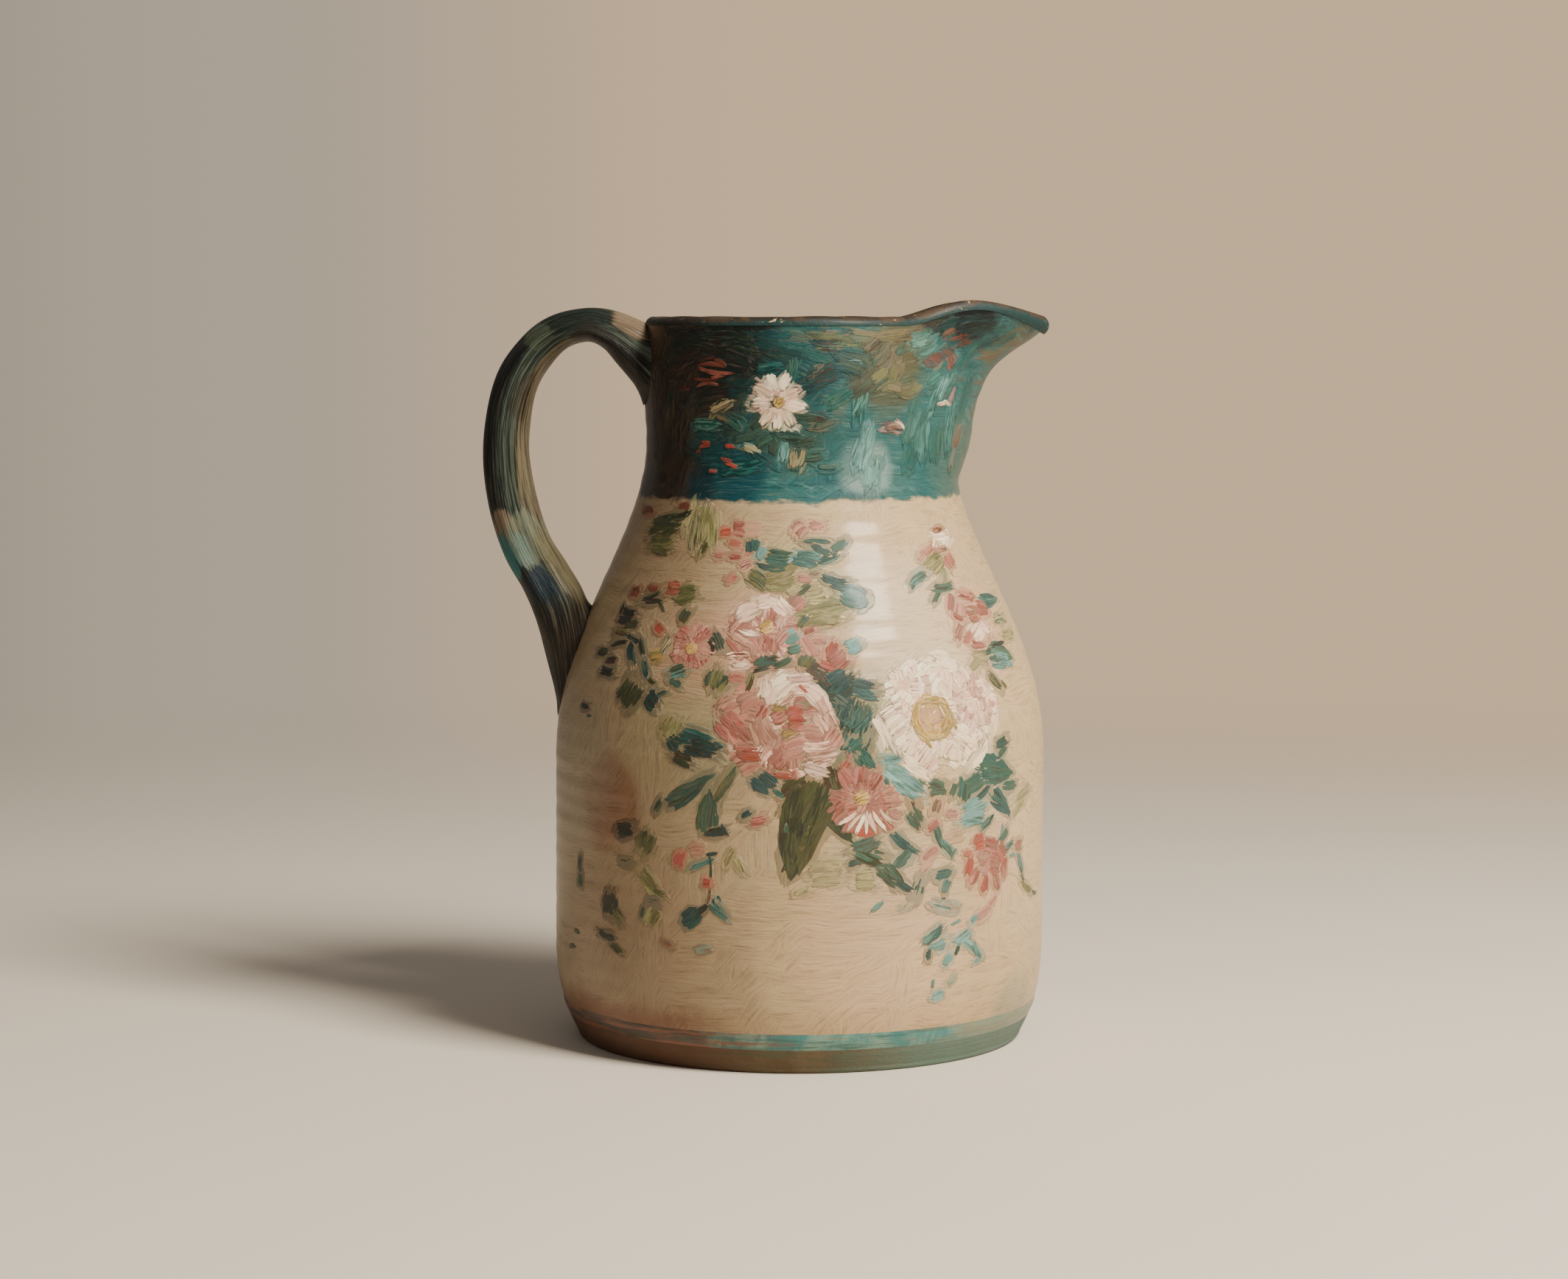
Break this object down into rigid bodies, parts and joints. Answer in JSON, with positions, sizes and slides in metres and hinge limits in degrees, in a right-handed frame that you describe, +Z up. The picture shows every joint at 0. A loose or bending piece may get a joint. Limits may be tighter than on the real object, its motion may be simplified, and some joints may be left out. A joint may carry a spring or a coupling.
{
  "type": "ceramic pitcher",
  "caption": "Bellied ceramic water pitcher with a straight coloured neck, a pulled beak spout, a strap handle and painted blossom sprays.",
  "frame": {"origin": "centre of the foot, on the surface the pitcher stands on", "axes": "+Z up, +X from the axis towards the spout, the handle on -X, +Y completes a right-handed frame"},
  "size_m": [0.1722, 0.15, 0.2247],
  "materials": {
    "bare_clay": "matt",
    "liner_glaze": "satin",
    "band_slip": "satin",
    "cream_glaze": "satin",
    "teal_glaze": "gloss",
    "rim_clay": "satin",
    "handle_glaze": "satin",
    "enamel_white": "satin",
    "enamel_pink": "satin",
    "enamel_red": "satin",
    "enamel_ochre": "satin",
    "enamel_teal": "satin",
    "enamel_dark": "satin",
    "enamel_olive": "satin"
  },
  "bodies": {
    "root": {"foot_ring": "bare_clay", "base_floor": "liner_glaze", "foot_band": "band_slip", "belly_wall": "cream_glaze", "shoulder_wall": "cream_glaze", "neck_collar": "teal_glaze", "rim_bead": "rim_clay", "spout_beak": "teal_glaze", "spout_lip_bead": "rim_clay", "handle_strap": "handle_glaze", "handle_upper_root": "handle_glaze", "handle_lower_root": "handle_glaze"}
  },
  "joints": []
}
